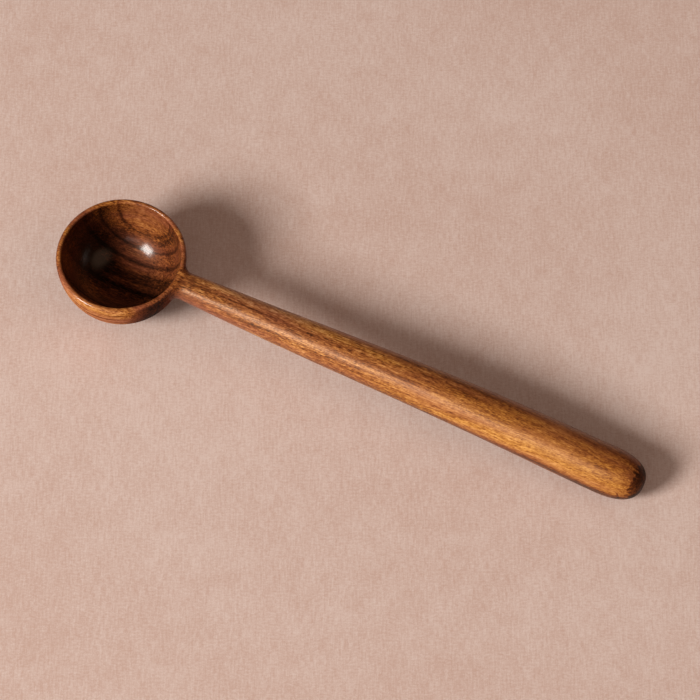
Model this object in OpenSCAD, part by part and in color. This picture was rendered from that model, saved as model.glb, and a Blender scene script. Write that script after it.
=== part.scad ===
// Long-handled wooden coffee scoop.
// A deep round bowl carries a short neck. A turned, club-shaped handle is butted to the neck,
// and a hidden fluted dowel is glued into both across the joint.
// Z is up and is the axis of the bowl, X runs along the handle, and z = 0 is the table.
// The scoop rests on the flat foot under its bowl and on the belly of its handle.

/* [Bowl] */
// Diameter of the bowl over its rim
rim_d = 51; // [40:0.5:70]
// Height of the rim above the table
bowl_h = 29.5; // [24:0.5:40]
// Diameter of the flat foot under the bowl
foot_d = 11; // [6:0.5:18]
// Thickness of the wall at the rim
rim_wall = 2.3; // [1.9:0.1:4]
// Thickness of the floor above the foot
floor_t = 5.5; // [2:0.1:8]
// Radius of the rim's two rounded edges
lip_round = 0.9; // [0.3:0.1:0.9]
// Fullness of the bowl's outer curve, where 2 is an ellipse and more is squarer
bowl_fullness = 2.15; // [1.8:0.05:3]
// Fullness of the hollow's curve
hollow_fullness = 2.5; // [1.8:0.05:3]

/* [Neck] */
// Diameter of the handle's line where it meets the rim
neck_d = 11; // [9:0.2:15]
// Depth of the handle's axis below the rim, at the rim
neck_drop = 5; // [4:0.1:8]
// Distance along the axis from the rim to the glued joint
neck_len = 20; // [16:0.5:40]
// Radius of the fillet between neck and bowl
fillet_r = 4; // [3:0.5:8]
// Distance along the axis from the rim to the thin end of the fillet
fillet_len = 2.5; // [1.5:0.5:6]
// Steepest angle of the fillet, where it runs into the bowl's wall
fillet_angle = 40; // [30:1:50]

/* [Handle] */
// Distance along the axis from the rim to the tip
handle_len = 195; // [120:0.5:260]
// Diameter at the belly, the thickest place
grip_d = 19.4; // [15:0.2:28]
// Distance along the axis from the belly to the tip
end_len = 16.5; // [8:0.5:30]
// Power of the taper, where 1 is a straight cone and more swells sooner
taper = 1.6; // [1:0.1:3]
// Fullness of the domed end, where 2 is an ellipse and more is squarer
end_fullness = 2.5; // [2:0.05:4]

/* [Dowel] */
// Diameter of the dowel
dowel_d = 6; // [4:0.5:8]
// Length of the dowel, half of it in each piece
dowel_len = 30; // [16:1:36]
// Glue space around the dowel
glue_gap = 0.1; // [0.05:0.05:0.3]
// Space left at each end of the dowel
end_gap = 0.8; // [0.3:0.1:2]
// Chamfer on the dowel's ends
dowel_chamfer = 0.7; // [0.2:0.1:1.5]
// Number of glue flutes around the dowel
flutes = 8; // [4:1:16]
// Width of one flute
flute_d = 0.8; // [0.4:0.1:1.2]

/* [Hidden] */
$fn = 96;

rim_r = rim_d / 2;
foot_r = foot_d / 2;
mouth_r = rim_r - rim_wall;
neck_r = neck_d / 2;
grip_r = grip_d / 2;
dowel_r = dowel_d / 2;

// The foot cuts the bowl's outer curve flat, so the curve alone would reach this deep
outer_deep = bowl_h / pow(1 - pow(foot_r / rim_r, bowl_fullness), 1 / bowl_fullness);
inner_deep = bowl_h - floor_t;

// Places along the handle's axis, counted from the rim
belly_s = handle_len - end_len;
joint_s = neck_len;
socket_deep = dowel_len / 2 + end_gap;
socket_r = dowel_r + glue_gap;

// Half the point angle of a common drill, which shapes the bottom of each dowel hole
drill_half_angle = 59;
// Cuts run this far past the faces that they open
overcut = 1;

bowl_steps = 18;
lip_steps = 4;
fillet_steps = 6;
neck_steps = 4;
taper_steps = 24;
end_steps = 14;
slope_rounds = 12;

// One point of a superellipse with half axes a and b, at angle t
function super_point(a, b, fullness, t) =
    [a * pow(cos(t), 2 / fullness), b * pow(sin(t), 2 / fullness)];

// Angle at which a bowl curve of the given depth is d below the rim
function bowl_angle(d, deep, fullness) = asin(pow(d / deep, fullness / 2));

// Points of a bowl curve as radius and height, from the rounded lip down to depth d
function bowl_curve(radius, deep, fullness, d) =
    let (t0 = bowl_angle(lip_round, deep, fullness), t1 = bowl_angle(d, deep, fullness))
    [for (i = [0:bowl_steps])
        let (p = super_point(radius, deep, fullness, t0 + (t1 - t0) * i / bowl_steps))
        [p[0], bowl_h - p[1]]];

// Points of the lip's rounding around a centre, from angle a0 to a1
function lip_arc(centre_r, a0, a1) =
    [for (i = [0:lip_steps])
        let (a = a0 + (a1 - a0) * i / lip_steps)
        [centre_r + lip_round * cos(a), bowl_h - lip_round + lip_round * sin(a)]];

// Radius of the handle's taper at a distance s from the rim, up to the belly
function taper_r(s) = neck_r + (grip_r - neck_r) * (1 - pow(1 - s / belly_s, taper));

taper_points =
    [for (i = [0:taper_steps])
        let (s = joint_s + (belly_s - joint_s) * i / taper_steps)
        [taper_r(s), s]];

end_points =
    [for (i = [1:end_steps - 1])
        let (p = super_point(grip_r, end_len, end_fullness, 90 * i / end_steps))
        [p[0], belly_s + p[1]]];

handle_points = concat(taper_points, end_points, [[0, handle_len]]);

// How far the fillet stands out from the taper at a distance d before its thin end
fillet_arc_len = fillet_r * sin(fillet_angle);
function fillet_out(d) =
    d < fillet_arc_len
        ? fillet_r - sqrt(fillet_r * fillet_r - d * d)
        : fillet_r * (1 - cos(fillet_angle)) + (d - fillet_arc_len) * tan(fillet_angle);

// The fillet's thick end is buried in the bowl's wall, and the cavity trims it
bury_s = -neck_r;
fillet_s = concat(
    [bury_s],
    [for (i = [0:fillet_steps]) fillet_len - fillet_r * sin(fillet_angle * (1 - i / fillet_steps))]);
neck_s = [for (i = [1:neck_steps]) fillet_len + (joint_s - fillet_len) * i / neck_steps];
neck_points = concat(
    [for (s = fillet_s) [taper_r(s) + fillet_out(fillet_len - s), s]],
    [for (s = neck_s) [taper_r(s), s]]);

// Slope of the handle at which its lowest point just touches the table
axis_h = bowl_h - neck_drop;
function lowest(a) = min([for (p = handle_points) axis_h - p[1] * sin(a) - p[0] * cos(a)]);
function resting_slope(a, rounds) =
    rounds == 0 ? a : resting_slope(a + asin(lowest(a) / belly_s), rounds - 1);
handle_slope = resting_slope(0, slope_rounds);

// Puts a shape that is drawn along Z onto the handle's axis, with the rim at its zero
module on_handle_axis() {
    translate([rim_r, 0, axis_h])
        rotate([0, 90 + handle_slope, 0])
            children();
}

// Outside of the bowl as a solid, from the foot to the flat land of the rim
module bowl_outside() {
    curve = bowl_curve(rim_r, outer_deep, bowl_fullness, bowl_h);
    lip = lip_arc(curve[0][0] - lip_round, 90, 0);
    rotate_extrude()
        polygon(concat([[0, bowl_h]], lip, [for (i = [1:bowl_steps]) curve[i]], [[0, 0]]));
}

// Space inside the bowl, open upwards past the rim
module bowl_cavity() {
    curve = bowl_curve(mouth_r, inner_deep, hollow_fullness, inner_deep);
    lip = lip_arc(curve[0][0] + lip_round, 90, 180);
    top_r = lip[0][0];
    rotate_extrude()
        polygon(concat(
            [[0, bowl_h + overcut], [top_r, bowl_h + overcut]],
            lip,
            [for (i = [1:bowl_steps - 1]) curve[i]],
            [[0, floor_t]]));
}

// Neck with its fillet, trimmed level with the rim
module neck() {
    last = len(neck_points) - 1;
    trim = 2 * (rim_r + neck_len);
    intersection() {
        on_handle_axis()
            rotate_extrude()
                polygon(concat([[0, neck_points[0][1]]], neck_points, [[0, neck_points[last][1]]]));
        translate([0, 0, bowl_h - trim / 2])
            cube(trim, center = true);
    }
}

// Drilled dowel hole with its drill point, running from the joint in the direction of side
module dowel_hole(side) {
    translate([0, 0, joint_s])
        mirror([0, 0, side < 0 ? 1 : 0]) {
            translate([0, 0, -overcut])
                cylinder(r = socket_r, h = socket_deep + overcut);
            translate([0, 0, socket_deep])
                cylinder(r1 = socket_r, r2 = 0, h = socket_r / tan(drill_half_angle));
        }
}

module bowl() {
    color("saddlebrown")
        difference() {
            union() {
                bowl_outside();
                neck();
            }
            bowl_cavity();
            on_handle_axis()
                dowel_hole(-1);
        }
}

module handle() {
    color("peru")
        on_handle_axis()
            difference() {
                rotate_extrude()
                    polygon(concat([[0, joint_s]], handle_points));
                dowel_hole(1);
            }
}

module dowel() {
    half = dowel_len / 2;
    color("burlywood")
        on_handle_axis()
            translate([0, 0, joint_s])
                difference() {
                    rotate_extrude()
                        polygon([
                            [0, -half],
                            [dowel_r - dowel_chamfer, -half],
                            [dowel_r, -half + dowel_chamfer],
                            [dowel_r, half - dowel_chamfer],
                            [dowel_r - dowel_chamfer, half],
                            [0, half]]);
                    for (i = [0:flutes - 1])
                        rotate(360 * i / flutes)
                            translate([dowel_r, 0, 0])
                                cylinder(d = flute_d, h = dowel_len + 2 * overcut, center = true);
                }
}

bowl();
handle();
dowel();
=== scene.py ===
"""Looks of a long-handled wooden coffee scoop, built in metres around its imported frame."""
import math

import bmesh
import bpy
import numpy as np
from mathutils import Euler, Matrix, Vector


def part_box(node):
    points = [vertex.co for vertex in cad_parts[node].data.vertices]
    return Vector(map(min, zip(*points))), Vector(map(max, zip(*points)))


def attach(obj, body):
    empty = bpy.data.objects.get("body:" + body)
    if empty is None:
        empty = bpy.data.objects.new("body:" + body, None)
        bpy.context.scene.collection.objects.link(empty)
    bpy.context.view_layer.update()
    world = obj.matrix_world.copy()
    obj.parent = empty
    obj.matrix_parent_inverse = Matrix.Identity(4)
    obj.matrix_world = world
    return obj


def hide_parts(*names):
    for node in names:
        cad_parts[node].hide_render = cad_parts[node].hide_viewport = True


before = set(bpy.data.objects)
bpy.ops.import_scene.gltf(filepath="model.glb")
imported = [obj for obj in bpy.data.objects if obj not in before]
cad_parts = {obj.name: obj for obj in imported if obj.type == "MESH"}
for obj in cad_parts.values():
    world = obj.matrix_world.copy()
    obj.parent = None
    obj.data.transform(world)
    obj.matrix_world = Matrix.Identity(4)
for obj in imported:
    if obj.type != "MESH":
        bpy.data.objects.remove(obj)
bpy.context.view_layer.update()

mm = 0.001

# Sizes of the bowl: those that the frame shows, then those that it doesn't.
# A curve with a fullness of 2 is an ellipse, and with more it is squarer.
bowl_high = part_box("bowl")[1]
rim_r = bowl_high.y
bowl_h = bowl_high.z
foot_r = 5.5 * mm
rim_wall = 2.3 * mm
floor_t = 5.5 * mm
bowl_fullness = 2.15
hollow_fullness = 2.5
lip_outside = 1.5 * mm
lip_inside = 0.8 * mm
foot_round = 0.6 * mm

# Sizes of the neck and the handle, along an axis that starts at the rim.
# The neck's end is buried in the bowl. A taper of 1 is a cone, and one of more swells sooner.
grip_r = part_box("handle")[1].y
neck_r = 5.5 * mm
neck_drop = 5.0 * mm
neck_len = 20.0 * mm
neck_bury = 3.0 * mm
fillet_r = 3.0 * mm
handle_len = 195.0 * mm
end_len = 16.5 * mm
taper = 1.6
end_fullness = 2.5
belly_s = handle_len - end_len
slope_rounds = 12

# The handle rises in a slight bow between the glued joint and its belly: its height at most,
# and the powers by which it rises from the joint and falls to the belly
bow = 2.3 * mm
bow_lead = 2.25
bow_trail = 1.5

# The dowel's holes, on both sides of the glued joint, and their depth to the drill's point
socket_r = 3.1 * mm
socket_deep = 15.8 * mm
socket_sides = 32
drill_half_angle = math.radians(59)
drill_deep = socket_deep + socket_r / math.tan(drill_half_angle)

# Hand rubbing leaves the surface a little uneven, always inwards
unevenness = 0.06 * mm
wave_long = 17.0 * mm
wave_short = 11.0 * mm
wave_seed = 3.0
wave_detail = 1.0

# Fineness of the meshes
carve_cell = 0.5 * mm
carve_margin = 2.0 * mm
relax_rounds = 8
probe = 0.02 * mm
handle_sides = 112
ring_step = 1.1 * mm
end_rings = 30
sharp_angle = math.radians(50)
weld = 0.001 * mm

# The photographed view
view_azimuth = math.radians(23.934)
view_elevation = math.radians(62.696)
view_distance = 1287.5 * mm
look_at = Vector((91.86, 12.20, -0.55)) * mm
lens_mm = 168.61

# The floor reaches this far to each side
floor_half = 12.0

# Lamps: name, shape, direction and distance from the middle of the view, size, power in W, and tone
lamps = (
    ("softbox", "SQUARE", (-0.474, -0.677, 0.56), 3.0, 0.965, 115.0, "#fffaf4"),
    ("card", "DISK", (0.62, 0.04, 0.785), 2.0, 1.9, 7.4, "#ffc8a4"),
    ("front_card", "SQUARE", (0.033, -0.937, 0.35), 5.0, 2.4, 30.0, "#fffaf4"))

# The middle of a round lamp, and how far from it the light has faded and is full, as shares of its width
lamp_middle = (0.5, 0.5, 0.0)
fade_edge = (0.5, 0.2)

# The dim room around the lamps
room_tone = "#ffeadc"
room_strength = 0.21


def linear(tone):
    """An sRGB hex tone as linear red, green, blue and alpha."""
    parts = [int(tone[i:i + 2], 16) / 255 for i in (1, 3, 5)]
    return [c / 12.92 if c <= 0.04045 else ((c + 0.055) / 1.055) ** 2.4 for c in parts] + [1.0]


def add(tree, kind, settings=None, inputs=None):
    """Adds one node, makes its settings, and fills its inputs with values or other nodes' outputs."""
    made = tree.nodes.new(kind)
    for name, value in (settings or {}).items():
        if name == "stops":
            ramp = made.color_ramp
            while len(ramp.elements) < len(value):
                ramp.elements.new(1.0)
            for stop, (place, tone) in zip(ramp.elements, value):
                stop.position = place
                stop.color = linear(tone) if isinstance(tone, str) else (tone, tone, tone, 1.0)
        else:
            setattr(made, name, value)
    for name, value in (inputs or {}).items():
        if isinstance(value, bpy.types.NodeSocket):
            tree.links.new(value, made.inputs[name])
        else:
            made.inputs[name].default_value = value
    return made


def piece_from(mesh, name):
    """Puts a mesh into the scene as an object of that name."""
    piece = bpy.data.objects.new(name, mesh)
    bpy.context.scene.collection.objects.link(piece)
    return piece


# Shape rules of the handle, whose taper and slope the bowl's neck shares

def taper_r(s):
    """Radius of the handle's taper at a distance s along its axis."""
    return neck_r + (grip_r - neck_r) * (1 - np.abs(1 - s / belly_s) ** taper)


def end_r(s):
    """Radius of the domed end at a distance s along the axis, past the belly."""
    return grip_r * np.clip(1 - ((s - belly_s) / end_len) ** end_fullness, 0, 1) ** (1 / end_fullness)


def bow_rise(s):
    """Height of the bow at a distance s along the axis."""
    peak = bow_lead / (bow_lead + bow_trail)
    u = np.clip((s - neck_len) / (belly_s - neck_len), 0, 1)
    return bow * (u / peak) ** bow_lead * ((1 - u) / (1 - peak)) ** bow_trail


def handle_rings():
    """Distance and radius of each ring from the joint to just before the tip."""
    taper_s = np.linspace(neck_len, belly_s, int((belly_s - neck_len) / ring_step))
    end_s = belly_s + end_len * np.sin(np.linspace(0, math.pi / 2, end_rings + 1)[1:-1])
    return np.concatenate([taper_s, end_s]), np.concatenate([taper_r(taper_s), end_r(end_s)])


def resting_slope():
    """Slope of the handle at which its lowest point just touches the table."""
    s, r = handle_rings()
    slope = 0.0
    for _ in range(slope_rounds):
        lowest = np.min(bowl_h - neck_drop - s * math.sin(slope) - r * math.cos(slope))
        slope += math.asin(lowest / belly_s)
    return slope


handle_slope = resting_slope()
axis_start = Vector((rim_r, 0, bowl_h - neck_drop))
axis_way = Vector((math.cos(handle_slope), 0, -math.sin(handle_slope)))
joint_point = axis_start + neck_len * axis_way


# The bowl is carved: its surface is where a distance rule is zero

def curve_gap(radius, deep, fullness, r, depth):
    """Distance from a bowl curve of that radius, depth and fullness, less than zero inside it."""
    a = np.maximum(r, weld) / radius
    b = np.maximum(depth, 0) / deep
    reach = a ** fullness + b ** fullness
    steep = np.hypot(a ** (fullness - 1) / radius, b ** (fullness - 1) / deep)
    return (reach ** (1 / fullness) - 1) / (reach ** (1 / fullness - 1) * steep)


def joined(a, b, radius):
    """Both solids together, with a hollow fillet between them."""
    corner = np.hypot(np.maximum(radius - a, 0), np.maximum(radius - b, 0))
    return np.maximum(radius, np.minimum(a, b)) - corner


def trimmed(a, b, radius):
    """What both solids share, with its edge rounded over."""
    corner = np.hypot(np.maximum(radius + a, 0), np.maximum(radius + b, 0))
    return np.minimum(-radius, np.maximum(a, b)) + corner


def bowl_shape(points):
    """Distance from the surface of the bowl and its neck, which runs on past the joint."""
    x, y, z = np.moveaxis(points, -1, 0)
    r = np.hypot(x, y)
    depth = bowl_h - z
    foot_share = (foot_r / rim_r) ** bowl_fullness
    outer_deep = bowl_h / (1 - foot_share) ** (1 / bowl_fullness)
    outside = curve_gap(rim_r, outer_deep, bowl_fullness, r, depth)
    hollow = curve_gap(rim_r - rim_wall, bowl_h - floor_t, hollow_fullness, r, depth)
    from_start = points - np.array(axis_start)
    s = from_start @ np.array(axis_way)
    off_axis = np.linalg.norm(from_start - s[..., None] * np.array(axis_way), axis=-1)
    neck = np.maximum(off_axis - taper_r(s), -neck_bury - s)
    body = trimmed(joined(outside, neck, fillet_r), -depth, lip_outside)
    body = trimmed(trimmed(body, -hollow, lip_inside), -z, foot_round)
    wave = np.sin(x / wave_long + y / wave_short) * np.sin(z / wave_short - x / wave_short)
    rubbed = np.clip((neck_len - s) / neck_len, 0, 1)
    return body + unevenness * rubbed * (1 + wave) * np.clip(z / foot_r, 0, 1)


def onto(shape, points):
    """Moves points straight onto the surface of a shape."""
    slope = np.stack([shape(points + step) - shape(points - step) for step in probe * np.eye(3)], -1)
    slope /= 2 * probe
    return points - (shape(points) / np.sum(slope ** 2, -1))[:, None] * slope


def carve(shape, low, high):
    """Points and quads of a shape's surface: a point in each cell that it crosses, evened out on it."""
    count = np.ceil((high - low) / carve_cell).astype(int)
    ticks = [low[k] + carve_cell * np.arange(count[k] + 1) for k in range(3)]
    solid = shape(np.stack(np.meshgrid(*ticks, indexing="ij"), -1)) < 0
    corners = [
        solid[i:i + count[0], j:j + count[1], k:k + count[2]]
        for i in (0, 1) for j in (0, 1) for k in (0, 1)]
    crossed = np.any(corners, 0) & ~np.all(corners, 0)
    number = np.full(crossed.shape, -1)
    number[crossed] = np.arange(crossed.sum())
    points = low + carve_cell * (np.argwhere(crossed) + 0.5)

    quads = []
    for k in range(3):
        order = (k, (k + 1) % 3, (k + 2) % 3)
        here = np.transpose(solid, order)[:, 1:-1, 1:-1]
        cells = np.transpose(number, order)
        around = np.stack(
            [cells[:, :-1, :-1], cells[:, 1:, :-1], cells[:, 1:, 1:], cells[:, :-1, 1:]], -1)
        quads.append(around[here[:-1] & ~here[1:]])
        quads.append(around[~here[:-1] & here[1:]][:, ::-1])
    quads = np.concatenate(quads)

    start, end = np.concatenate([quads[:, [i, (i + 1) % 4]] for i in range(4)]).T
    share = np.bincount(start, minlength=len(points)) + np.bincount(end, minlength=len(points))
    for _ in range(relax_rounds):
        mean = [
            np.bincount(start, points[end, k], len(points))
            + np.bincount(end, points[start, k], len(points))
            for k in range(3)]
        points = onto(shape, np.stack(mean, -1) / share[:, None])
    return onto(shape, points), quads


def drill(bm, outline):
    """Closes the neck's cut face inside its outline, around a hole for the dowel with a drilled point."""
    across = Vector((0, 1, 0))
    upright = axis_way.cross(across)
    turns = [math.tau * i / socket_sides for i in range(socket_sides)]
    mouth = [
        bm.verts.new(joint_point + socket_r * (math.cos(t) * across + math.sin(t) * upright))
        for t in turns]
    mouth_edges = [bm.edges.new((mouth[i - 1], mouth[i])) for i in range(socket_sides)]
    bmesh.ops.triangle_fill(bm, use_beauty=True, edges=outline + mouth_edges)
    wall = bmesh.ops.extrude_edge_only(bm, edges=mouth_edges)["geom"]
    bottom = [v for v in wall if isinstance(v, bmesh.types.BMVert)]
    bmesh.ops.translate(bm, verts=bottom, vec=-socket_deep * axis_way)
    drill_point = bm.verts.new(joint_point - drill_deep * axis_way)
    for edge in [e for e in wall if isinstance(e, bmesh.types.BMEdge)]:
        if all(v in bottom for v in edge.verts):
            bm.faces.new((*edge.verts, drill_point))


def carved_bowl():
    """The bowl with its neck, cut off square at the joint and drilled for the dowel."""
    low = np.array([-rim_r, -rim_r, 0]) - carve_margin
    high = np.array([joint_point.x, rim_r, bowl_h]) + carve_margin
    points, quads = carve(bowl_shape, low, high)
    mesh = bpy.data.meshes.new("carved_bowl")
    mesh.from_pydata(points.tolist(), [], quads.tolist())
    bm = bmesh.new()
    bm.from_mesh(mesh)

    everything = bm.verts[:] + bm.edges[:] + bm.faces[:]
    cut = bmesh.ops.bisect_plane(
        bm, geom=everything, plane_co=joint_point, plane_no=axis_way, clear_outer=True)
    drill(bm, [e for e in cut["geom_cut"] if isinstance(e, bmesh.types.BMEdge)])

    bmesh.ops.recalc_face_normals(bm, faces=bm.faces)
    for face in bm.faces:
        face.smooth = True
    for edge in bm.edges:
        edge.smooth = edge.calc_face_angle(0) < sharp_angle
    bm.to_mesh(mesh)
    bm.free()
    mesh.materials.append(acacia)
    return piece_from(mesh, "carved_bowl")


# The handle is turned: its rings go round a lathe's axis

def lathe():
    """Node tree that turns rings, given as points of radius, rise and distance, into a rubbed solid."""
    tree = bpy.data.node_groups.new("turned_on_a_lathe", "GeometryNodeTree")
    wanted = {
        "Rings": "Geometry", "Sides": "Int", "Rubbed off": "Float", "Wave length": "Float",
        "Seed": "Float", "Even until": "Float", "Axis start": "Vector", "Axis turn": "Rotation",
        "Wood": "Material"}
    keys = {
        name: tree.interface.new_socket(name, in_out="INPUT", socket_type="NodeSocket" + kind).identifier
        for name, kind in wanted.items()}
    tree.interface.new_socket("Solid", in_out="OUTPUT", socket_type="NodeSocketGeometry")
    given = add(tree, "NodeGroupInput").outputs

    # Each point of a grid is numbered by ring and side
    count = add(tree, "GeometryNodeAttributeDomainSize", inputs={0: given["Rings"]}).outputs["Point Count"]
    columns = add(tree, "ShaderNodeMath", {"operation": "ADD"}, {0: given["Sides"], 1: 1.0}).outputs[0]
    blank = add(tree, "GeometryNodeMeshGrid", inputs={"Vertices X": columns, "Vertices Y": count})
    index = add(tree, "GeometryNodeInputIndex").outputs[0]
    ring = add(tree, "ShaderNodeMath", {"operation": "MODULO"}, {0: index, 1: count}).outputs[0]
    column = add(tree, "ShaderNodeMath", {"operation": "DIVIDE"}, {0: index, 1: count}).outputs[0]
    side = add(tree, "ShaderNodeMath", {"operation": "FLOOR"}, {0: column}).outputs[0]
    share = add(tree, "ShaderNodeMath", {"operation": "DIVIDE"}, {0: side, 1: given["Sides"]}).outputs[0]
    turn = add(tree, "ShaderNodeMath", {"operation": "MULTIPLY"}, {0: share, 1: math.tau}).outputs[0]
    place = add(tree, "GeometryNodeInputPosition").outputs[0]
    picked = add(
        tree, "GeometryNodeSampleIndex", {"data_type": "FLOAT_VECTOR"},
        {"Geometry": given["Rings"], "Value": place, "Index": ring}).outputs[0]
    radius, rise, distance = add(tree, "ShaderNodeSeparateXYZ", inputs={0: picked}).outputs

    # The grid is rolled up and closed
    cosine = add(tree, "ShaderNodeMath", {"operation": "COSINE"}, {0: turn}).outputs[0]
    sine = add(tree, "ShaderNodeMath", {"operation": "SINE"}, {0: turn}).outputs[0]
    up = add(
        tree, "ShaderNodeMath", {"operation": "MULTIPLY_ADD"}, {0: radius, 1: cosine, 2: rise}).outputs[0]
    down = add(tree, "ShaderNodeMath", {"operation": "MULTIPLY"}, {0: up, 1: -1.0}).outputs[0]
    out = add(tree, "ShaderNodeMath", {"operation": "MULTIPLY"}, {0: radius, 1: sine}).outputs[0]
    spot = add(tree, "ShaderNodeCombineXYZ", inputs={0: down, 1: out, 2: distance}).outputs[0]
    turned = add(
        tree, "GeometryNodeSetPosition", inputs={"Geometry": blank.outputs["Mesh"], "Position": spot})
    closed = add(
        tree, "GeometryNodeMergeByDistance",
        inputs={"Geometry": turned.outputs[0], "Distance": weld}).outputs[0]
    outwards = add(tree, "GeometryNodeFlipFaces", inputs={0: closed}).outputs[0]

    # It is rubbed uneven, but not near the joint
    along = add(tree, "ShaderNodeSeparateXYZ", inputs={0: place}).outputs[2]
    scale = add(
        tree, "ShaderNodeMath", {"operation": "DIVIDE"}, {0: 1.0, 1: given["Wave length"]}).outputs[0]
    noise = add(
        tree, "ShaderNodeTexNoise", {"noise_dimensions": "4D"},
        {"Vector": place, "W": given["Seed"], "Scale": scale, "Detail": wave_detail}).outputs[0]
    fade_end = add(
        tree, "ShaderNodeMath", {"operation": "ADD"}, {0: given["Even until"], 1: given["Wave length"]})
    fade = add(
        tree, "ShaderNodeMapRange", {"interpolation_type": "SMOOTHSTEP"},
        {"Value": along, "From Min": given["Even until"], "From Max": fade_end.outputs[0]}).outputs[0]
    deep = add(tree, "ShaderNodeMath", {"operation": "MULTIPLY"}, {0: noise, 1: fade}).outputs[0]
    rubbed_off = add(
        tree, "ShaderNodeMath", {"operation": "MULTIPLY"}, {0: deep, 1: given["Rubbed off"]}).outputs[0]
    inwards = add(tree, "ShaderNodeMath", {"operation": "MULTIPLY"}, {0: rubbed_off, 1: -1.0}).outputs[0]
    normal = add(tree, "GeometryNodeInputNormal").outputs[0]
    step = add(
        tree, "ShaderNodeVectorMath", {"operation": "SCALE"}, {0: normal, "Scale": inwards}).outputs[0]
    rubbed = add(tree, "GeometryNodeSetPosition", inputs={"Geometry": outwards, "Offset": step}).outputs[0]

    # It is smoothed, laid on the handle's axis and given its wood
    smooth = add(tree, "GeometryNodeSetShadeSmooth", inputs={"Geometry": rubbed}).outputs[0]
    angle = add(tree, "GeometryNodeInputMeshEdgeAngle").outputs[0]
    sharp = add(
        tree, "FunctionNodeCompare", {"operation": "GREATER_THAN"}, {0: angle, 1: sharp_angle}).outputs[0]
    creased = add(
        tree, "GeometryNodeSetShadeSmooth", {"domain": "EDGE"},
        {"Geometry": smooth, "Selection": sharp, "Shade Smooth": False}).outputs[0]
    laid = add(
        tree, "GeometryNodeTransform",
        inputs={"Geometry": creased, "Translation": given["Axis start"], "Rotation": given["Axis turn"]})
    real = add(tree, "GeometryNodeRealizeInstances", inputs={"Geometry": laid.outputs[0]}).outputs[0]
    finished = add(
        tree, "GeometryNodeSetMaterial", inputs={"Geometry": real, "Material": given["Wood"]}).outputs[0]
    add(tree, "NodeGroupOutput", inputs={0: finished})
    return tree, keys


def turned_handle():
    """The handle, from the dowel's hole in its thin end to the tip of its domed end."""
    s, r = handle_rings()
    rings = [(0, 0, neck_len + drill_deep), (socket_r, 0, neck_len + socket_deep), (socket_r, 0, neck_len)]
    rings += list(zip(r, bow_rise(s), s))
    rings.append((0, 0, handle_len))
    wire = bpy.data.meshes.new("handle_rings")
    wire.from_pydata(rings, [], [])
    blank = piece_from(wire, "handle_rings")

    tree, keys = lathe()
    modifier = blank.modifiers.new("lathe", "NODES")
    modifier.node_group = tree
    sizes = {
        "Sides": handle_sides, "Rubbed off": 2 * unevenness, "Wave length": wave_long, "Seed": wave_seed,
        "Even until": neck_len, "Axis start": axis_start,
        "Axis turn": Euler((0, math.pi / 2 + handle_slope, 0)), "Wood": acacia}
    for name, value in sizes.items():
        modifier[keys[name]] = value
    made = blank.evaluated_get(bpy.context.evaluated_depsgraph_get())
    mesh = bpy.data.meshes.new_from_object(made)
    mesh.name = "turned_handle"
    bpy.data.objects.remove(blank)
    return piece_from(mesh, "turned_handle")


# The value that a noise swings about
noise_middle = 0.5

# Values of the acacia. Its tones go from 0, the palest, to 1, the darkest,
# and an edge is given as where a change starts and where it is full.

# Marks in the wood, each drawn by a noise: width and length in mm, and roughness of outline.
# Fibres and pores are finer on real wood, and are drawn this coarse so that they show.
wood_marks = {
    "sway": (24.0, 90.0, 1.0), "jag": (1.2, 26.0, 2.0), "hue": (7.0, 50.0, 2.0),
    "broad": (3.0, 60.0, 2.0), "streak": (0.9, 16.0, 3.0), "fibre": (0.36, 2.4, 2.0),
    "pore": (0.42, 1.5, 1.0), "ripple": (1.5, 0.9, 1.0)}

# How far two of the marks push the growth layers aside, in mm,
# and how much others darken or lighten the wood
layer_pushes = {"sway": 3.0, "jag": 0.8}
mark_depths = {"broad": 0.36, "streak": 0.70, "fibre": 1.05, "ripple": 0.24}

# Pores: their edge in the noise, and how much darker they are
pore_edge = (0.56, 0.7)
pore_depth = 0.2

# Redder patches: their edge in the noise, how far they swing the hue,
# and how much weaker the marks are there, and stronger elsewhere
patch_edge = (0.35, 0.65)
patch_hue = 0.4
patch_marks = 0.35

# Tone of wood without growth layers, then that of the upright layers in three stretches of the scoop,
# by their place across it in mm, with painted shade at the grip's bottom edge
plain_tone = 0.36
layer_span = (-26.0, 26.0)
layer_and_shade_tones = {
    "bowl": (
        (-26, 0.10), (-19, 0.16), (-15.5, 0.40), (-13.6, 0.52), (-13, 0.84), (-12.2, 0.62), (-8, 0.54),
        (-3.4, 0.60), (-2.2, 0.84), (-1.3, 0.78), (-0.5, 0.58), (1.3, 0.55), (1.9, 0.66), (5.6, 0.61),
        (6.4, 0.44), (9.2, 0.40), (9.8, 0.64), (10.7, 0.60), (11.4, 0.41), (14.9, 0.38), (15.6, 0.64),
        (16.4, 0.46), (19.5, 0.37), (20.1, 0.62), (20.6, 0.34), (26, 0.31)),
    "neck": (
        (-10, 0.26), (-6, 0.28), (-4, 0.28), (-1.6, 0.31), (-0.6, 0.36), (0.8, 0.29), (1.8, 0.13),
        (3.2, 0.18), (4.2, 0.15), (6, 0.18), (10, 0.24)),
    "grip": (
        # Past -9.1 mm, at the grip's bottom edge, the darker tones are painted contact shade
        (-10, 0.46), (-9.5, 0.42), (-9.1, 0.14), (-5, 0.18), (-2, 0.29), (0.2, 0.36), (1.4, 0.27),
        (3, 0.31), (4.2, 0.38), (5.2, 0.32), (8, 0.39), (10, 0.47))}

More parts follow.
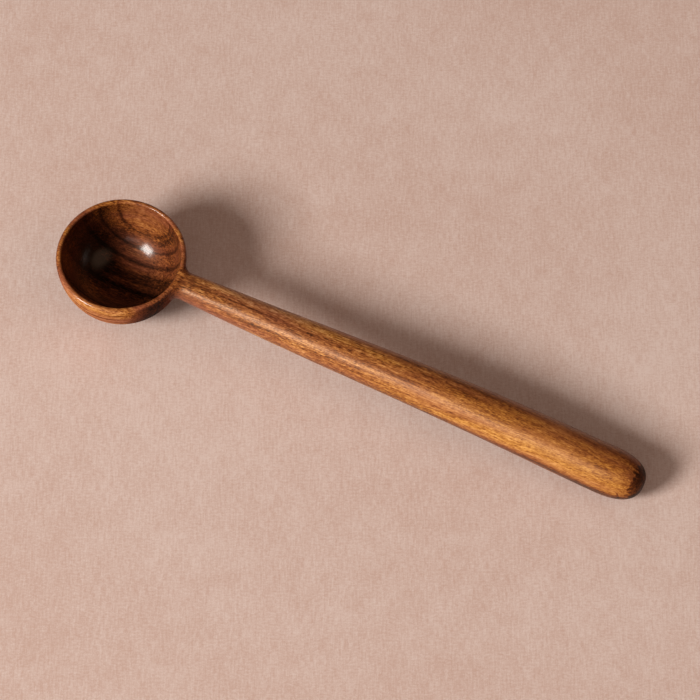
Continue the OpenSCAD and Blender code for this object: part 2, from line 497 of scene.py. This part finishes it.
# What changes along the scoop, by place in mm
length_span = (-26.0, 220.0)
along_scoop = {
    # How much the layers of each stretch show; the grip's share also sets where its painted underside shade
    # goes
    "bowl": ((-26, 0.15), (-21, 0.30), (-15, 1.0), (12, 1.0), (30, 0.6)),
    "neck": ((16, 0.0), (36, 1.0)),
    "grip": ((80, 0.0), (135, 1.0)),
    # How much darker the wood gets, all round and where end grain shows
    "depth": ((-26, 0.04), (20, 0.06), (110, 0.06), (150, 0.04), (185, 0.02), (215, 0.11)),
    "end grain": ((-26, 0.06), (100, 0.06), (175, 0.29), (220, 0.29)),
    # How red the wood is, how strong its marks are, and how rough its surface was left
    "redness": ((-26, 0.5), (20, 0.65), (35, 0.74), (75, 0.66), (120, 0.15), (220, 0.05)),
    "marks": ((-26, 0.66), (20, 0.7), (36, 0.86), (100, 0.94), (140, 0.84), (170, 0.7), (220, 0.62)),
    "relief": ((-26, 0.06), (20, 0.08), (30, 0.45), (110, 0.4), (220, 0.3)),
    # How strong the sheen is, how much sanding round the handle draws it out lengthwise,
    # and how much oil stands on the wood
    "sheen": ((24.5, 0.0), (29, 1.0), (60, 0.95), (90, 0.72), (200, 0.66), (218, 0.1)),
    "drawn out": ((20, 0.0), (40, 0.62)),
    "oil": ((20, 0.1), (30, 0.0))}

# Dark flecks and patches of painted shade: middle and half size along, across and upwards in mm,
# and how much darker they are. Those of full height run through the wood from top to bottom,
# and all fade out from a small core.
full_height = 1000.0
fleck_core = 0.1
flecks_and_painted_shade = (
    # The patches at (-15, 6) and (-7.5, 17) are painted shade on the hollow's left wall and at the edge of
    # the rim's shadow
    (-15.0, 6.0, 0.0, 12.5, 16.0, full_height, 0.38), (-7.5, 17.0, 0.0, 7.0, 5.0, full_height, 0.14),
    # The patch at (19, -16) on the outer wall by the neck is partly dark streaks and partly painted shade
    (10.0, 18.7, 0.0, 7.5, 1.4, full_height, 0.24), (19.0, -16.0, 0.0, 19.0, 9.0, full_height, 0.24),
    (-8.0, -23.6, 24.9, 17.0, 6.0, 0.9, 0.30), (1.0, -24.6, 22.2, 24.0, 6.0, 1.0, 0.32),
    (9.0, -23.0, 26.0, 15.0, 6.0, 0.6, 0.26), (-4.0, -21.0, 18.6, 26.0, 8.0, 0.9, 0.22),
    (47.0, -0.3, 0.0, 18.0, 0.7, full_height, 0.10), (121.0, -3.9, 0.0, 9.0, 1.1, full_height, 0.18),
    (136.0, -7.8, 0.0, 6.0, 0.42, full_height, 0.17), (143.0, -7.6, 0.0, 4.2, 0.36, full_height, 0.15),
    (203.0, -4.0, 0.0, 8.5, 1.3, full_height, 0.17), (212.0, -8.4, 0.0, 1.5, 0.18, full_height, 0.25))

# The rim's edge, in mm from the bowl's axis, and the lip's in mm above the table.
# The lip is rubbed most of the way to one tone.
rim_edge = (25.6, 24.9)
lip_edge = (28.0, 29.0)
lip_tone = 0.32
lip_share = 0.75

# End grain goes by how squarely the wood faces along the scoop, and its edge is ragged.
# The painted shade on the grip's underside goes by how much the wood faces upwards, and so does the hollow,
# which has more sheen and oil.
end_grain_edge = (0.76, 0.88)
end_grain_raggedness = 0.6
underside_shade_edge = (0.22, -0.14)
underside_shade_depth = 0.32
hollow_edge = (0.0, 0.2)
hollow_sheen = 0.14
hollow_oil = 0.62

# Colours of both kinds of wood by tone
golden_wood = (
    (0.0, "#d39a54"), (0.15, "#b97e38"), (0.3, "#9c6126"), (0.45, "#7a4118"), (0.6, "#572c10"),
    (0.75, "#381b0b"), (0.9, "#1c0c05"), (1.0, "#100603"))
reddish_wood = (
    (0.0, "#c9916c"), (0.15, "#ac6f4c"), (0.3, "#8f5135"), (0.45, "#6e3822"), (0.6, "#4e2516"),
    (0.75, "#33160c"), (0.9, "#1a0a05"), (1.0, "#100603"))

# Relief of the surface, with fibres and pores as shares of the sanding ripples
relief_height = 0.2 * mm
fibre_relief = 0.3
pore_relief = -0.15

# Gloss of the wood and of the oil on it, where a quarter turn lays the sheen along the handle
wood_roughness = 0.45
wood_ior = 1.5
sheen_tone = "#ffdcba"
sheen_turn = 0.25
oil_roughness = 0.17
oil_ior = 1.4

# Values of the dowel's beech: width of its flecks in mm, that as a share of their length,
# and roughness of outline, then its tones and its finish
beech_fleck = 0.5
beech_slimness = 0.15
beech_detail = 2.0
beech_tones = ((0.3, "#d9bb8c"), (0.58, "#cfae7c"), (0.66, "#a97f4f"))
beech_relief_height = 0.03 * mm
beech_relief = 0.4
beech_roughness = 0.7
beech_ior = 1.5

# Values of the floor's paint: width and length in mm and contrast of its brush marks,
# and roughness of outline, then its tones, its share of them where no mark shows, and its finish
brush_marks = (
    (0.7, 5.5, 1.5), (1.8, 0.8, 1.5), (0.5, 0.5, 1.6), (9.0, 13.0, 0.75), (150.0, 110.0, 1.1))
paint_detail = 3.0
paint_tones = ((0.0, "#c1a498"), (1.0, "#d2beb6"))
paint_middle = 0.5
paint_roughness = 0.8
paint_specular = 0.2


def new_material(name):
    """An empty material, with its node tree and the object's coordinates in mm."""
    material = bpy.data.materials.new(name)
    material.use_nodes = True
    tree = material.node_tree
    tree.nodes.clear()
    place = add(tree, "ShaderNodeTexCoord").outputs["Object"]
    in_mm = add(tree, "ShaderNodeVectorMath", {"operation": "SCALE"}, {0: place, "Scale": 1 / mm})
    return material, tree, in_mm.outputs[0]


def spread(stops, span):
    """Stops with their places in mm turned to shares of a span."""
    return [((place - span[0]) / (span[1] - span[0]), tone) for place, tone in stops]


def grain_marks(tree, in_mm):
    """A noise drawn out along the grain for each of the wood's marks."""
    marks = {}
    for name, (width, length, detail) in wood_marks.items():
        drawn_out = add(
            tree, "ShaderNodeVectorMath", {"operation": "MULTIPLY"},
            {0: in_mm, 1: (1 / length, 1 / width, 1 / width)}).outputs[0]
        marks[name] = add(
            tree, "ShaderNodeTexNoise",
            inputs={"Vector": drawn_out, "Scale": 1.0, "Detail": detail}).outputs[0]
    return marks


def growth_layer(tree, y, marks):
    """Place across the scoop in mm, pushed aside as the growth layers are."""
    middle_push = noise_middle * sum(layer_pushes.values())
    layer = add(tree, "ShaderNodeMath", {"operation": "SUBTRACT"}, {0: y, 1: middle_push}).outputs[0]
    for name, reach in layer_pushes.items():
        layer = add(
            tree, "ShaderNodeMath", {"operation": "MULTIPLY_ADD"},
            {0: marks[name], 1: reach, 2: layer}).outputs[0]
    return layer


def layered_and_shaded_tone(tree, layer, along):
    """Tone of the growth layers, stretch by stretch along the scoop, with painted shade at the grip's
    bottom edge.
    """
    across = add(
        tree, "ShaderNodeMapRange",
        inputs={"Value": layer, "From Min": layer_span[0], "From Max": layer_span[1]}).outputs[0]
    tone = plain_tone
    for stretch, stops in layer_and_shade_tones.items():
        stretch_tone = add(
            tree, "ShaderNodeValToRGB", {"stops": spread(stops, layer_span)}, {0: across}).outputs[0]
        tone = add(tree, "ShaderNodeMix", inputs={0: along[stretch], 2: tone, 3: stretch_tone}).outputs[0]
    return add(tree, "ShaderNodeMath", {"operation": "ADD"}, {0: tone, 1: along["depth"]}).outputs[0]


def with_flecks_and_painted_shade(tree, tone, x, layer, z):
    """The tone with its dark flecks and its patches of painted shade, which fade out from their cores."""
    in_layer = add(tree, "ShaderNodeCombineXYZ", inputs={0: x, 1: layer, 2: z}).outputs[0]
    for *middle, half_long, half_wide, half_high, depth in flecks_and_painted_shade:
        from_fleck = add(
            tree, "ShaderNodeVectorMath", {"operation": "SUBTRACT"}, {0: in_layer, 1: middle}).outputs[0]
        shrunk = add(
            tree, "ShaderNodeVectorMath", {"operation": "DIVIDE"},
            {0: from_fleck, 1: (half_long, half_wide, half_high)}).outputs[0]
        away = add(tree, "ShaderNodeVectorMath", {"operation": "LENGTH"}, {0: shrunk}).outputs["Value"]
        darker = add(
            tree, "ShaderNodeMapRange", {"interpolation_type": "SMOOTHSTEP"},
            {"Value": away, "From Min": fleck_core, "From Max": 1.0, "To Min": depth, "To Max": 0.0})
        tone = add(tree, "ShaderNodeMath", {"operation": "ADD"}, {0: tone, 1: darker.outputs[0]}).outputs[0]
    return tone


def with_rubbed_lip(tree, tone, z, within_rim):
    """The tone with the lip rubbed even."""
    on_lip = add(
        tree, "ShaderNodeMapRange", {"interpolation_type": "SMOOTHSTEP"},
        {"Value": z, "From Min": lip_edge[0], "From Max": lip_edge[1], "To Max": within_rim}).outputs[0]
    rubbed = add(tree, "ShaderNodeMath", {"operation": "MULTIPLY"}, {0: on_lip, 1: lip_share}).outputs[0]
    return add(tree, "ShaderNodeMix", inputs={0: rubbed, 2: tone, 3: lip_tone}).outputs[0]


def with_marks(tree, tone, marks, pore, strength):
    """The tone with its pores, streaks, fibres and ripples, weaker in the redder patches."""
    drawn = add(tree, "ShaderNodeMath", {"operation": "MULTIPLY"}, {0: pore, 1: pore_depth}).outputs[0]
    for name, depth in mark_depths.items():
        centred = add(
            tree, "ShaderNodeMath", {"operation": "SUBTRACT"}, {0: marks[name], 1: noise_middle}).outputs[0]
        drawn = add(
            tree, "ShaderNodeMath", {"operation": "MULTIPLY_ADD"},
            {0: centred, 1: depth, 2: drawn}).outputs[0]
    patchy = add(
        tree, "ShaderNodeMapRange",
        inputs={
            "Value": marks["hue"], "From Min": patch_edge[0], "From Max": patch_edge[1],
            "To Min": 1 + patch_marks, "To Max": 1 - patch_marks}).outputs[0]
    shown = add(tree, "ShaderNodeMath", {"operation": "MULTIPLY"}, {0: strength, 1: patchy}).outputs[0]
    return add(
        tree, "ShaderNodeMath", {"operation": "MULTIPLY_ADD"}, {0: drawn, 1: shown, 2: tone}).outputs[0]


def with_end_grain(tree, tone, jag, facing_x, depth):
    """The tone with darker end grain."""
    squarely = add(tree, "ShaderNodeMath", {"operation": "ABSOLUTE"}, {0: facing_x}).outputs[0]
    ragged = add(
        tree, "ShaderNodeMath", {"operation": "MULTIPLY_ADD"},
        {0: jag, 1: end_grain_raggedness, 2: squarely}).outputs[0]
    end_grain = add(
        tree, "ShaderNodeMapRange", {"interpolation_type": "SMOOTHSTEP"},
        {"Value": ragged, "From Min": end_grain_edge[0], "From Max": end_grain_edge[1]}).outputs[0]
    return add(
        tree, "ShaderNodeMath", {"operation": "MULTIPLY_ADD"},
        {0: end_grain, 1: depth, 2: tone}).outputs[0]


def with_painted_underside_shade(tree, tone, facing_z, share):
    """The tone with painted shade on its underside, where the wood faces downwards."""
    under = add(
        tree, "ShaderNodeMapRange", {"interpolation_type": "SMOOTHSTEP"},
        {"Value": facing_z, "From Min": underside_shade_edge[0], "From Max": underside_shade_edge[1], "To Max": share})
    return add(
        tree, "ShaderNodeMath", {"operation": "MULTIPLY_ADD"},
        {0: under.outputs[0], 1: underside_shade_depth, 2: tone}).outputs[0]


def wood_colour(tree, tone, hue_mark, redness):
    """Colour of the wood at its depth of tone, between golden and reddish."""
    golden, reddish = [
        add(tree, "ShaderNodeValToRGB", {"stops": stops}, {0: tone}).outputs[0]
        for stops in (golden_wood, reddish_wood)]
    swing = add(
        tree, "ShaderNodeMapRange",
        inputs={
            "Value": hue_mark, "From Min": patch_edge[0], "From Max": patch_edge[1],
            "To Min": -patch_hue, "To Max": patch_hue}).outputs[0]
    red_share = add(
        tree, "ShaderNodeMath", {"operation": "ADD", "use_clamp": True}, {0: swing, 1: redness}).outputs[0]
    return add(
        tree, "ShaderNodeMix", {"data_type": "RGBA"}, {0: red_share, 6: golden, 7: reddish}).outputs[2]


def raised_grain(tree, marks, pore, strength):
    """Bump of raised fibres, open pores and sanding ripples, which break up the gloss."""
    fibres = add(
        tree, "ShaderNodeMath", {"operation": "MULTIPLY"}, {0: marks["fibre"], 1: fibre_relief}).outputs[0]
    with_pores = add(
        tree, "ShaderNodeMath", {"operation": "MULTIPLY_ADD"},
        {0: pore, 1: pore_relief, 2: fibres}).outputs[0]
    relief = add(
        tree, "ShaderNodeMath", {"operation": "ADD"}, {0: marks["ripple"], 1: with_pores}).outputs[0]
    return add(
        tree, "ShaderNodeBump",
        inputs={"Height": relief, "Distance": relief_height, "Strength": strength}).outputs[0]


def oiled_acacia():
    """Acacia, sanded and oiled: upright brown layers, dark pores along the grain, a satin gloss."""
    material, tree, in_mm = new_material("oiled_acacia")
    x, y, z = add(tree, "ShaderNodeSeparateXYZ", inputs={0: in_mm}).outputs
    facing = add(tree, "ShaderNodeTexCoord").outputs["Normal"]
    facing_x, _, facing_z = add(tree, "ShaderNodeSeparateXYZ", inputs={0: facing}).outputs
    along_share = add(
        tree, "ShaderNodeMapRange",
        inputs={"Value": x, "From Min": length_span[0], "From Max": length_span[1]}).outputs[0]
    along = {
        name: add(
            tree, "ShaderNodeValToRGB", {"stops": spread(stops, length_span)}, {0: along_share}).outputs[0]
        for name, stops in along_scoop.items()}
    from_axis = add(tree, "ShaderNodeCombineXYZ", inputs={0: x, 1: y}).outputs[0]
    off_axis = add(tree, "ShaderNodeVectorMath", {"operation": "LENGTH"}, {0: from_axis}).outputs["Value"]
    within_rim = add(
        tree, "ShaderNodeMapRange", {"interpolation_type": "SMOOTHSTEP"},
        {"Value": off_axis, "From Min": rim_edge[0], "From Max": rim_edge[1]}).outputs[0]
    marks = grain_marks(tree, in_mm)
    pore = add(
        tree, "ShaderNodeMapRange", {"interpolation_type": "SMOOTHSTEP"},
        {"Value": marks["pore"], "From Min": pore_edge[0], "From Max": pore_edge[1]}).outputs[0]

    layer = growth_layer(tree, y, marks)
    # Growth layers, with painted shade at the grip's bottom edge
    tone = layered_and_shaded_tone(tree, layer, along)
    # Dark flecks, with painted shade in the hollow's left side and on the outer wall by the neck
    tone = with_flecks_and_painted_shade(tree, tone, x, layer, z)
    tone = with_rubbed_lip(tree, tone, z, within_rim)
    tone = with_marks(tree, tone, marks, pore, along["marks"])
    tone = with_end_grain(tree, tone, marks["jag"], facing_x, along["end grain"])
    # Painted shade on the grip's underside, where it faces downwards
    tone = with_painted_underside_shade(tree, tone, facing_z, along["grip"])
    wood = wood_colour(tree, tone, marks["hue"], along["redness"])

    # The hollow keeps more of the oil, and so more gloss
    bump = raised_grain(tree, marks, pore, along["relief"])
    hollow = add(
        tree, "ShaderNodeMapRange", {"interpolation_type": "SMOOTHSTEP"},
        {"Value": facing_z, "From Min": hollow_edge[0], "From Max": hollow_edge[1], "To Max": within_rim})
    sheen, oil = [
        add(
            tree, "ShaderNodeMath", {"operation": "MULTIPLY_ADD"},
            {0: hollow.outputs[0], 1: more, 2: along[name]}).outputs[0]
        for name, more in (("sheen", hollow_sheen), ("oil", hollow_oil))]
    around = add(tree, "ShaderNodeTangent", {"direction_type": "RADIAL", "axis": "X"}).outputs[0]
    shader = add(
        tree, "ShaderNodeBsdfPrincipled",
        inputs={
            "Base Color": wood, "Roughness": wood_roughness, "IOR": wood_ior, "Normal": bump,
            "Specular IOR Level": sheen, "Specular Tint": linear(sheen_tone),
            "Anisotropic": along["drawn out"], "Anisotropic Rotation": sheen_turn, "Tangent": around,
            "Coat Weight": oil, "Coat Roughness": oil_roughness, "Coat IOR": oil_ior, "Coat Normal": bump})
    add(tree, "ShaderNodeOutputMaterial", inputs={"Surface": shader.outputs[0]})
    return material


def planed_beech():
    """Bare beech, drawn through a dowel plate: pale, matt, with short dark flecks along the grain."""
    material, tree, in_mm = new_material("planed_beech")
    drawn_out = add(
        tree, "ShaderNodeVectorMath", {"operation": "MULTIPLY"},
        {0: in_mm, 1: (beech_slimness, 1, 1)}).outputs[0]
    flecks = add(
        tree, "ShaderNodeTexNoise",
        inputs={"Vector": drawn_out, "Scale": 1 / beech_fleck, "Detail": beech_detail}).outputs[0]
    tone = add(tree, "ShaderNodeValToRGB", {"stops": beech_tones}, {0: flecks}).outputs[0]
    bump = add(
        tree, "ShaderNodeBump",
        inputs={"Height": flecks, "Distance": beech_relief_height, "Strength": beech_relief}).outputs[0]
    shader = add(
        tree, "ShaderNodeBsdfPrincipled",
        inputs={"Base Color": tone, "Roughness": beech_roughness, "IOR": beech_ior, "Normal": bump})
    add(tree, "ShaderNodeOutputMaterial", inputs={"Surface": shader.outputs[0]})
    return material


def painted_board():
    """Matt paint brushed on a board: a dusty pink floor with faint brush marks."""
    material, tree, in_mm = new_material("painted_board")
    turned = add(
        tree, "ShaderNodeMapping", inputs={"Vector": in_mm, "Rotation": (0, 0, -view_azimuth)}).outputs[0]
    share = paint_middle
    for wide, long, contrast in brush_marks:
        drawn_out = add(
            tree, "ShaderNodeVectorMath", {"operation": "DIVIDE"},
            {0: turned, 1: (wide, long, wide)}).outputs[0]
        stroke = add(
            tree, "ShaderNodeTexNoise",
            inputs={"Vector": drawn_out, "Scale": 1.0, "Detail": paint_detail}).outputs[0]
        centred = add(
            tree, "ShaderNodeMath", {"operation": "SUBTRACT"}, {0: stroke, 1: noise_middle}).outputs[0]
        share = add(
            tree, "ShaderNodeMath", {"operation": "MULTIPLY_ADD"},
            {0: centred, 1: contrast, 2: share}).outputs[0]
    tone = add(tree, "ShaderNodeValToRGB", {"stops": paint_tones}, {0: share}).outputs[0]
    shader = add(
        tree, "ShaderNodeBsdfPrincipled",
        inputs={"Base Color": tone, "Roughness": paint_roughness, "Specular IOR Level": paint_specular})
    add(tree, "ShaderNodeOutputMaterial", inputs={"Surface": shader.outputs[0]})
    return material


# Stage: floor, light and camera

def lay_floor():
    """A wide plain floor at the height of the table."""
    mesh = bpy.data.meshes.new("floor")
    corners = [(x * floor_half, y * floor_half, 0) for x, y in ((-1, -1), (1, -1), (1, 1), (-1, 1))]
    mesh.from_pydata(corners, [], [(0, 1, 2, 3)])
    mesh.materials.append(painted_board())
    floor = piece_from(mesh, "floor")


def add_lamp(name, shape, way, distance, size, power, tone):
    """A soft lamp in the direction way from the middle of the view, facing it."""
    lamp = bpy.data.lights.new(name, "AREA")
    lamp.shape = shape
    lamp.size = size
    lamp.energy = power
    lamp.color = linear(tone)[:3]
    holder = bpy.data.objects.new(name, lamp)
    holder.location = look_at + distance * Vector(way).normalized()
    holder.rotation_euler = Vector(way).to_track_quat("Z", "Y").to_euler()
    bpy.context.scene.collection.objects.link(holder)
    return lamp


def fade_to_edge(lamp):
    """Lets a round lamp's light fade towards its edge, as a bent card's does."""
    lamp.use_nodes = True
    tree = lamp.node_tree
    tree.nodes.clear()
    place = add(tree, "ShaderNodeNewGeometry").outputs["Parametric"]
    away = add(tree, "ShaderNodeVectorMath", {"operation": "DISTANCE"}, {0: place, 1: lamp_middle})
    fade = add(
        tree, "ShaderNodeMapRange", {"interpolation_type": "SMOOTHSTEP"},
        {"Value": away.outputs["Value"], "From Min": fade_edge[0], "From Max": fade_edge[1]}).outputs[0]
    glow = add(tree, "ShaderNodeEmission", inputs={"Strength": fade}).outputs[0]
    add(tree, "ShaderNodeOutputLight", inputs={0: glow})


def add_light():
    """A softbox at the left, weak cards at the right and in front, and a dim room."""
    for values in lamps:
        lamp = add_lamp(*values)
        if lamp.shape == "DISK":
            fade_to_edge(lamp)
    world = bpy.data.worlds.new("room")
    world.use_nodes = True
    background = world.node_tree.nodes["Background"]
    background.inputs["Color"].default_value = linear(room_tone)
    background.inputs["Strength"].default_value = room_strength
    bpy.context.scene.world = world

    # The wood doesn't mirror the room, whose even light would veil its dark layers in grey
    world.cycles_visibility.glossy = False


def add_camera():
    """The camera at the photographed viewing angle."""
    camera = bpy.data.cameras.new("camera")
    camera.lens = lens_mm
    holder = bpy.data.objects.new("camera", camera)
    back = Vector((
        math.sin(view_azimuth) * math.cos(view_elevation),
        -math.cos(view_azimuth) * math.cos(view_elevation),
        math.sin(view_elevation)))
    holder.location = look_at + view_distance * back
    holder.rotation_euler = back.to_track_quat("Z", "Y").to_euler()
    bpy.context.scene.collection.objects.link(holder)
    bpy.context.scene.camera = holder


acacia = oiled_acacia()
for make, node, slot in ((carved_bowl, "bowl", "bowl_wood"), (turned_handle, "handle", "handle_wood")):
    piece = make()
    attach(piece, "root")
    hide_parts(node)
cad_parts["dowel"].data.materials[0] = planed_beech()

lay_floor()
add_light()
add_camera()
bpy.context.scene.view_settings.view_transform = "Standard"
